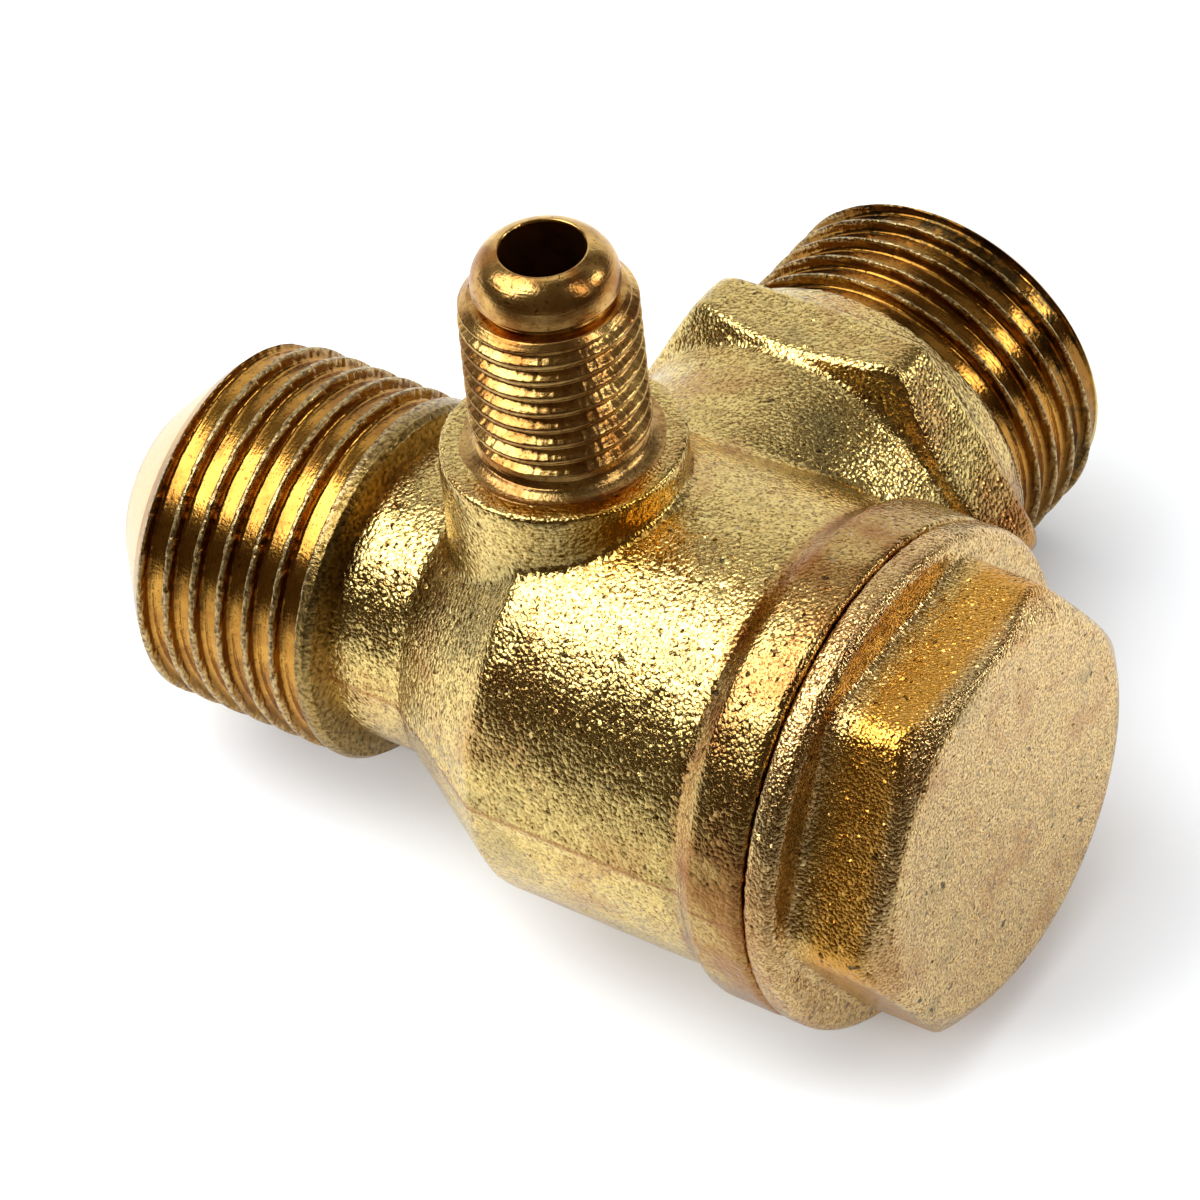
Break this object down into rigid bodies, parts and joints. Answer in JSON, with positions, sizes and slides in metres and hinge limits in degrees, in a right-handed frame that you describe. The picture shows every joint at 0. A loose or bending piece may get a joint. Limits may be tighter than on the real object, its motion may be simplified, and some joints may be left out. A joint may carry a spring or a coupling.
{
  "type": "non-return valve",
  "caption": "Forged brass right-angle non-return valve for an air compressor: threaded inlet and tank ports, small unloader port, spring-loaded piston behind a hexagonal cap.",
  "frame": {"origin": "centre of the inlet bore at the inlet port's end face", "axes": "+X along the main axis from the inlet to the hexagonal cap, +Y out of the tank port, +Z out of the unloader port"},
  "size_m": [0.0551, 0.0461, 0.0432],
  "materials": {
    "body_brass": "sandblasted forging with machined threads",
    "cap_brass": "forged hexagon with a matte end",
    "seal_rubber": "matte",
    "disc_rubber": "matte",
    "piston_brass": "turned",
    "spring_steel": "drawn wire"
  },
  "bodies": {
    "housing": {"valve_body": "body_brass", "hex_cap": "cap_brass", "cap_seal_ring": "seal_rubber", "return_spring": "spring_steel"},
    "check_piston": {"piston": "piston_brass", "seat_disc": "disc_rubber"}
  },
  "joints": [
    {"name": "piston_slide", "type": "slide", "parent": "housing", "child": "check_piston", "axis": [1, 0, 0], "range_m": [0, 0.004], "stiffness_N_per_m": 150, "springref_m": -0.008, "deforming": ["return_spring"]}
  ]
}
